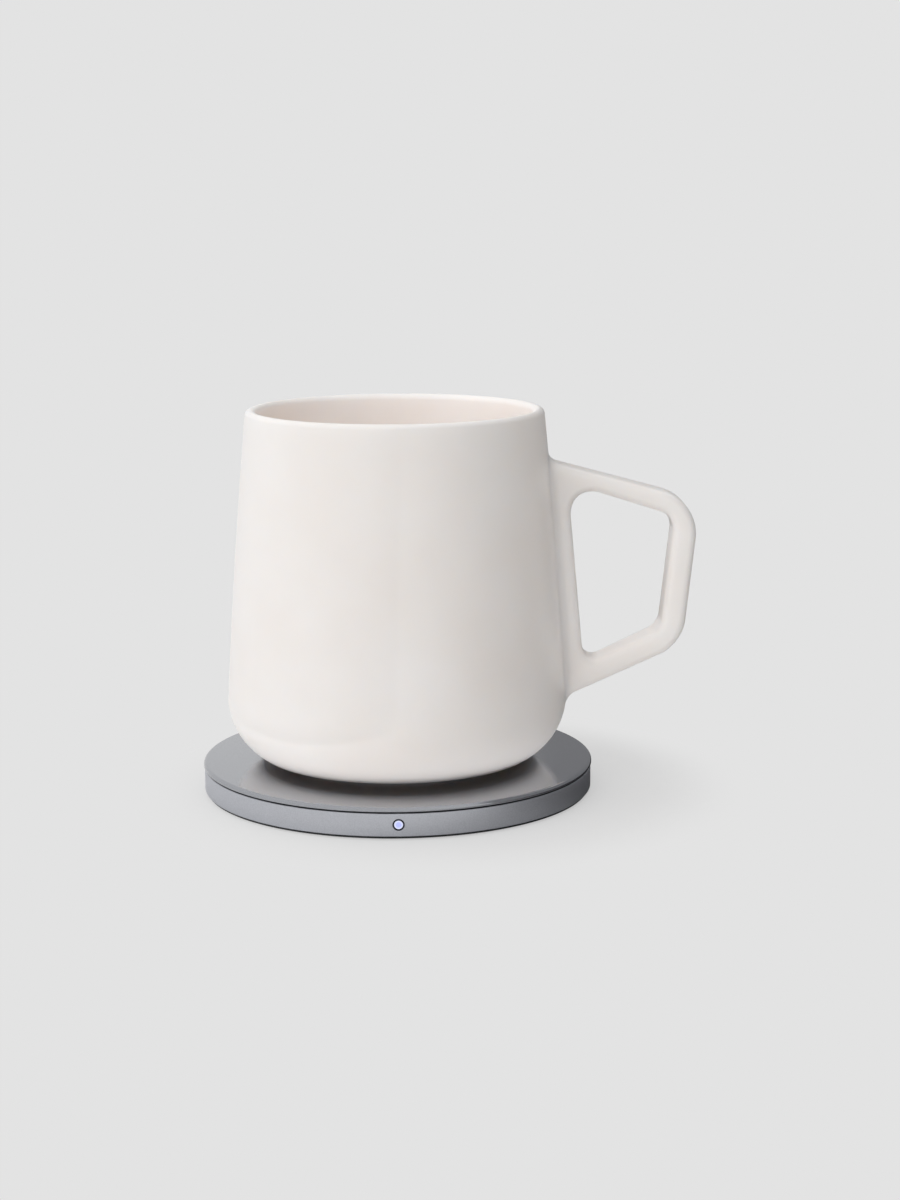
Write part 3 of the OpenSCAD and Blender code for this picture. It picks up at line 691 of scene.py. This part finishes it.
# Pad ring: a turned band with eased edges, the rebate of the shadow gap, and two openings
padRing = {
    "outerR": 50.8,
    "innerR": 49.2,
    "low": 0.9,
    "shoulder": 6.7,
    "rebateR": 50.0,
    "ease": 0.22,
    "crease": 30,  # degrees
    "inletW": 9.24,
    "inletH": 3.5,
    "lightD": 3.0,
    "cutDepth": 6.0,
    "endMargin": 0.01,  # keeps the inlet's round ends from meeting
    "rimMargin": 0.1,
    "gapMargin": 0.5,
    "steps": 256,
    "easeSegments": 3,
    "inletSegments": 10,
    "lightSegments": 48,
}
bm = bmesh.new()
ringCorners = (
    (padRing["innerR"], padRing["low"]),
    (padRing["outerR"], padRing["low"]),
    (padRing["outerR"], padRing["shoulder"]),
    (padRing["rebateR"], padRing["shoulder"]),
    (padRing["rebateR"], padCover["under"]),
    (padRing["innerR"], padCover["under"]),
)
turnRing(bm, ringCorners, padRing["steps"])
rimFrom = (padRing["outerR"] - padRing["rimMargin"]) * mm
squareEdges = sharpEdges(bm, squareTurn)
rimEdges = [e for e in squareEdges if min(v.co.xy.length for v in e.verts) > rimFrom]
softenEdges(bm, rimEdges, padRing["ease"], padRing["easeSegments"])
ringPiece = finishPiece(
    "padRing", bm, ringMat, "pad", ["metal_ring"], padRing["crease"]
)


def cutFrom(piece, cutters):
    for cutter in cutters:
        cut = piece.modifiers.new("cut", "BOOLEAN")
        cut.object = cutter
        cut.solver = "EXACT"
    graph = bpy.context.evaluated_depsgraph_get()
    cutMesh = bpy.data.meshes.new_from_object(piece.evaluated_get(graph))
    piece.modifiers.clear()
    piece.data = cutMesh
    for cutter in cutters:
        bpy.data.objects.remove(cutter)


# A round-ended bar for the inlet and a round pin for the light, both along Y
barSize = Vector((padRing["inletW"], padRing["cutDepth"], padRing["inletH"])) * mm
bm = bmesh.new()
bmesh.ops.create_cube(bm, size=1)
bmesh.ops.scale(bm, verts=bm.verts, vec=barSize)
endEdges = [e for e in bm.edges if abs(e.verts[0].co.y - e.verts[1].co.y) > mm]
softenEdges(bm, endEdges, padRing["inletH"] / 2 - padRing["endMargin"], padRing["inletSegments"])
bmesh.ops.translate(bm, verts=bm.verts, vec=(0, padRing["outerR"] * mm, openingZ * mm))
bmesh.ops.recalc_face_normals(bm, faces=bm.faces)
inletCutter = meshObject("inletCutter", bm)
bm = bmesh.new()
bmesh.ops.create_cone(
    bm,
    cap_ends=True,
    segments=padRing["lightSegments"],
    radius1=padRing["lightD"] / 2 * mm,
    radius2=padRing["lightD"] / 2 * mm,
    depth=padRing["cutDepth"] * mm,
)
bmesh.ops.rotate(bm, verts=bm.verts, matrix=Matrix.Rotation(math.pi / 2, 3, "X"))
bmesh.ops.translate(bm, verts=bm.verts, vec=(0, -padRing["outerR"] * mm, openingZ * mm))
bmesh.ops.recalc_face_normals(bm, faces=bm.faces)
lightCutter = meshObject("lightCutter", bm)
bpy.context.view_layer.update()
cutFrom(ringPiece, [inletCutter, lightCutter])

# The rebate and the inside of the ring take the dark plastic finish: painted shade that deepens the
# shadow gap
ringPiece.data.materials.append(finishMats["mouldedDarkPlastic"])
paintedShadeWithin = (padRing["rebateR"] + padRing["gapMargin"]) * mm
for face in ringPiece.data.polygons:
    if face.center.z > padRing["low"] * mm and face.center.xy.length < paintedShadeWithin:
        face.material_index = 1
print("pad shell made")


# Indicator: a dark sleeve and a lit lens with a low dome
indicator = {
    "front": 50.88,
    "sleeveR": 1.45,
    "lensR": 1.06,
    "clearance": 0.02,
    "sleeveDepth": 2.2,
    "sleeveEase": 0.07,
    "lensDepth": 1.5,
    "lensSink": 0.05,
    "domeR": 5.0,
    "steps": 64,
    "easeSegments": 3,
    "domeSteps": 8,
}
frontSpot = Vector((0, -indicator["front"], openingZ)) * mm
toFront = Matrix.Translation(frontSpot) @ Matrix.Rotation(math.pi / 2, 4, "X")
boreR = indicator["lensR"] + indicator["clearance"]
sleeveCorners = (
    (boreR, 0),
    (indicator["sleeveR"], 0),
    (indicator["sleeveR"], -indicator["sleeveDepth"]),
    (boreR, -indicator["sleeveDepth"]),
)
bm = bmesh.new()
turnRing(bm, sleeveCorners, indicator["steps"])
softenEdges(bm, sharpEdges(bm, squareTurn), indicator["sleeveEase"], indicator["easeSegments"])
bmesh.ops.transform(bm, matrix=toFront, verts=bm.verts)
finishPiece(
    "indicatorSleeve", bm, finishMats["glossBlackSleeve"], "pad", ["indicator_bezel"]
)

# Clear light pipe, lit from behind: a cool glow, painted whiter towards the rim as a painted
# highlight
litLens = {
    "tones": ("#bbc3fa", "#e4e9ff"),  # core and rim
    "toneSpan": (0.0, 1.0),
    "glow": (0.5, 0.95),  # shares of the lens's radius where the core ends and the rim starts
    "body": "#20222a",
    "rough": 0.15,
    "strength": 1.0,
}
lensMat, tree, shader, place = newMaterial("litLens")
offset = addNode(
    tree,
    "VectorMath",
    {1: (0, 0, -openingZ * mm)},
    {0: place},
    operation="ADD",
)
squash = addNode(
    tree,
    "VectorMath",
    {1: (1, 0, 1)},
    {0: offset.outputs[0]},
    operation="MULTIPLY",
)
fromAxis = addNode(tree, "VectorMath", links={0: squash.outputs[0]}, operation="LENGTH")
lensShare = addNode(
    tree,
    "MapRange",
    {
        "From Min": litLens["glow"][0] * indicator["lensR"] * mm,
        "From Max": litLens["glow"][1] * indicator["lensR"] * mm,
    },
    {"Value": fromAxis.outputs["Value"]},
)
# The core's glow is the lit light; the whiter rim is a painted highlight
lensGlowPaintedRim = addNode(
    tree,
    "ValToRGB",
    links={"Fac": lensShare.outputs["Result"]},
    stops=zip(litLens["toneSpan"], litLens["tones"]),
)
shader.inputs["Base Color"].default_value = linear(litLens["body"])
shader.inputs["Roughness"].default_value = litLens["rough"]
shader.inputs["Emission Strength"].default_value = litLens["strength"]
tree.links.new(lensGlowPaintedRim.outputs["Color"], shader.inputs["Emission Color"])
domeC = Vector((0, -indicator["domeR"] - indicator["lensSink"]))
domeTurn = math.degrees(math.asin(indicator["lensR"] / indicator["domeR"]))
bm = bmesh.new()
pen = startAt(bm, 0, -indicator["lensSink"])
pen = arcTo(bm, pen, domeC, -domeTurn, indicator["domeSteps"])
pen = lineTo(bm, pen, indicator["lensR"], -indicator["lensDepth"])
lineTo(bm, pen, 0, -indicator["lensDepth"])
turnProfile(bm, indicator["steps"])
bmesh.ops.transform(bm, matrix=toFront, verts=bm.verts)
finishPiece("indicatorLens", bm, lensMat, "pad", ["indicator_lens"])
print("indicator made")


# Stage: a pale sweep that keeps the shadow close to the pad
stage = {
    "background": "#e3e3e3",
    "floor": "#e3e3e3",
    "half": 3000.0,
    "shadowCentre": 12.0,  # the shadow falls to the right
    "shadowReach": (54.0, 80.0),  # from that centre
    "shadowShare": 0.4,  # how much of the shadow shows beside the pad
    "mirrorReach": (70.0, 190.0),  # the same for the floor that the metal mirrors
    "skyTint": "#ffffff",
    "sky": (0.86, 0.15),  # light of the room, from the left and from the right
    "skyTop": 0.42,  # what the ceiling adds
    "tableBounce": "#6a6a6a",  # tone of the table to the light that it throws back
}
floorMat = bpy.data.materials.new("paleSweep")
floorMat.use_nodes = True
tree = floorMat.node_tree
tree.nodes.remove(tree.nodes["Principled BSDF"])
place = addNode(tree, "TexCoord").outputs["Object"]
away = addNode(tree, "VectorMath", links={0: place}, operation="LENGTH")
fromShadow = addNode(
    tree,
    "VectorMath",
    {1: (stage["shadowCentre"] * mm, 0, 0)},
    {0: place},
    operation="DISTANCE",
)
fadeSeen = addNode(
    tree,
    "MapRange",
    {
        "From Min": stage["shadowReach"][0] * mm,
        "From Max": stage["shadowReach"][1] * mm,
        "To Min": 1 - stage["shadowShare"],
    },
    {"Value": fromShadow.outputs["Value"]},
    interpolation_type="SMOOTHSTEP",
)
fadeMirrored = addNode(
    tree,
    "MapRange",
    {"From Min": stage["mirrorReach"][0] * mm, "From Max": stage["mirrorReach"][1] * mm},
    {"Value": away.outputs["Value"]},
    interpolation_type="SMOOTHSTEP",
)
path = addNode(tree, "LightPath")
mirrored = addNode(
    tree,
    "Math",
    links={0: path.outputs["Is Glossy Ray"], 1: path.outputs["Is Transmission Ray"]},
    operation="MAXIMUM",
)
flatSeen = addNode(
    tree,
    "Math",
    links={0: path.outputs["Is Camera Ray"], 1: fadeSeen.outputs["Result"]},
    operation="MULTIPLY",
)
flatMirrored = addNode(
    tree,
    "Math",
    links={0: mirrored.outputs[0], 1: fadeMirrored.outputs["Result"]},
    operation="MULTIPLY",
)
flat = addNode(
    tree,
    "Math",
    links={0: flatSeen.outputs[0], 1: flatMirrored.outputs[0]},
    operation="MAXIMUM",
)
paperTone = addNode(
    tree,
    "Mix",
    {"A": linear(stage["floor"]), "B": linear(stage["tableBounce"])},
    {"Factor": path.outputs["Is Diffuse Ray"]},
    data_type="RGBA",
)
paper = addNode(tree, "BsdfDiffuse", links={"Color": paperTone.outputs["Result"]})
glow = addNode(tree, "Emission", {"Color": linear(stage["background"])})
blend = addNode(
    tree,
    "MixShader",
    links={0: flat.outputs[0], 1: paper.outputs[0], 2: glow.outputs[0]},
)
tree.links.new(blend.outputs[0], tree.nodes["Material Output"].inputs["Surface"])
bm = bmesh.new()
bmesh.ops.create_grid(bm, x_segments=1, y_segments=1, size=stage["half"] * mm)
floor = meshObject("floor", bm, floorMat)

# The room lights the object softly, while the camera and mirrors see a plain backdrop
world = bpy.data.worlds.new("studio")
scene.world = world
world.use_nodes = True
tree = world.node_tree
path = addNode(tree, "LightPath")
seen = addNode(
    tree,
    "Math",
    links={0: path.outputs["Is Camera Ray"], 1: path.outputs["Is Glossy Ray"]},
    operation="MAXIMUM",
)
seenAll = addNode(
    tree,
    "Math",
    links={0: seen.outputs[0], 1: path.outputs["Is Transmission Ray"]},
    operation="MAXIMUM",
)
skyPlace = addNode(tree, "TexCoord").outputs["Generated"]
heading = addNode(tree, "SeparateXYZ", links={"Vector": skyPlace})
skyShare = addNode(
    tree,
    "MapRange",
    {"From Min": -1.0, "To Min": stage["sky"][0], "To Max": stage["sky"][1]},
    {"Value": heading.outputs["X"]},
)
ceiling = addNode(tree, "MapRange", {"To Max": stage["skyTop"]}, {"Value": heading.outputs["Z"]})
skyLight = addNode(
    tree,
    "Math",
    links={0: skyShare.outputs["Result"], 1: ceiling.outputs["Result"]},
    operation="ADD",
)
sky = tree.nodes["Background"]
sky.inputs["Color"].default_value = linear(stage["skyTint"])
tree.links.new(skyLight.outputs[0], sky.inputs["Strength"])
backdrop = addNode(tree, "Background", {"Color": linear(stage["background"]), "Strength": 1.0})
both = addNode(
    tree,
    "MixShader",
    links={0: seenAll.outputs[0], 1: sky.outputs[0], 2: backdrop.outputs[0]},
)
tree.links.new(both.outputs[0], tree.nodes["World Output"].inputs["Surface"])


# Panels: place, what they face, width, height, power in watts
panels = {
    "keyPanel": ((-1150, -1400, 1150), (0, 0, 60), 3000, 2400, 19.0),
    "bouncePanel": ((-110, -160, -700), (-110, -160, 0), 1500, 1400, 17.4),
    "edgePanel": ((-250, -700, 1100), (40, 0, 70), 400, 400, 0.9),
}
lamps = {}
for panelName, (spot, target, width, height, power) in panels.items():
    data = bpy.data.lights.new(panelName, "AREA")
    data.shape = "RECTANGLE"
    data.size = width * mm
    data.size_y = height * mm
    data.energy = power
    lamp = bpy.data.objects.new(panelName, data)
    lamp.visible_camera = False
    aim = (Vector(target) - Vector(spot)).to_track_quat("-Z", "Y").to_matrix().to_4x4()
    lamp.matrix_world = Matrix.Translation(Vector(spot) * mm) @ aim
    scene.collection.objects.link(lamp)
    lamps[panelName] = lamp
for panelName in ("keyPanel", "bouncePanel"):
    lamps[panelName].visible_glossy = False  # broad light, with no mirrored outline of the panel

# A panel below the table stands for the light that a bright table throws up at the mug alone
mugPieces = bpy.data.collections.new("mugPieces")
for piece in (mugShell, mugHandle, frame["nodes"]["base_cap"], frame["nodes"]["base_seal"]):
    mugPieces.objects.link(piece)
bounce = lamps["bouncePanel"].light_linking
bounce.receiver_collection = mugPieces
bounce.blocker_collection = bpy.data.collections.new("bounceBlockers")
for piece in mugPieces.objects:
    bounce.blocker_collection.objects.link(piece)

# A disc inside the pad keeps that light off the foot, so the contact stays dark
footShade = {"radius": 38.4, "z": 8.2, "steps": 64}
bm = bmesh.new()
bmesh.ops.create_circle(
    bm, cap_ends=True, segments=footShade["steps"], radius=footShade["radius"] * mm
)
bmesh.ops.translate(bm, verts=bm.verts, vec=(0, 0, footShade["z"] * mm))
shadeDisc = meshObject("footShade", bm, finishMats["mouldedDarkPlastic"])
bounce.blocker_collection.objects.link(shadeDisc)

# The small lamp draws the highlights along the edges of the handle
handleOnly = bpy.data.collections.new("handleOnly")
handleOnly.objects.link(mugHandle)
lamps["edgePanel"].light_linking.receiver_collection = handleOnly

# Cards that only the metal sees: a standing grey one on the right, and one on the table
cards = {  # two ends of the near edge, the spread from it, and the tone
    "sideCard": ((330, -260, 2), (60, 420, 2), (0, 0, 420), "#a6a6a8"),
    "tableCard": ((-60, -160, 0.3), (-60, 420, 0.3), (390, 0, 0), "#3c3c3e"),
}
fadeHeading = (0.8, 0.6, 0)  # from front left to back right
fadeReach = (-45.0, 40.0)  # along that heading, from the floor's tone to the card's own
for cardName, (near, far, spread, tone) in cards.items():
    cardMat, tree, shader, place = newMaterial(cardName)
    along = addNode(tree, "VectorMath", {1: fadeHeading}, {0: place}, operation="DOT_PRODUCT")
    fade = addNode(
        tree,
        "MapRange",
        {"From Min": fadeReach[0] * mm, "From Max": fadeReach[1] * mm},
        {"Value": along.outputs["Value"]},
    )
    cardTone = addNode(
        tree,
        "Mix",
        {"A": linear(stage["floor"]), "B": linear(tone)},
        {"Factor": fade.outputs["Result"]},
        data_type="RGBA",
    )
    tree.links.new(cardTone.outputs["Result"], shader.inputs["Base Color"])
    shader.inputs["Roughness"].default_value = 1.0
    bm = bmesh.new()
    corner = bm.verts.new(Vector(near) * mm)
    foot = bmesh.ops.extrude_vert_indiv(bm, verts=[corner])
    foot["verts"][0].co = Vector(far) * mm
    made = bmesh.ops.extrude_edge_only(bm, edges=foot["edges"])["geom"]
    moved = [g for g in made if isinstance(g, bmesh.types.BMVert)]
    bmesh.ops.translate(bm, verts=moved, vec=Vector(spread) * mm)
    card = meshObject(cardName, bm, cardMat)
    card.visible_camera = False
    card.visible_diffuse = False
    card.visible_shadow = False

# Light goes round many times inside a white cup
scene.cycles.max_bounces = 24
scene.cycles.diffuse_bounces = 16
scene.view_settings.view_transform = "Standard"
print("stage and light set")
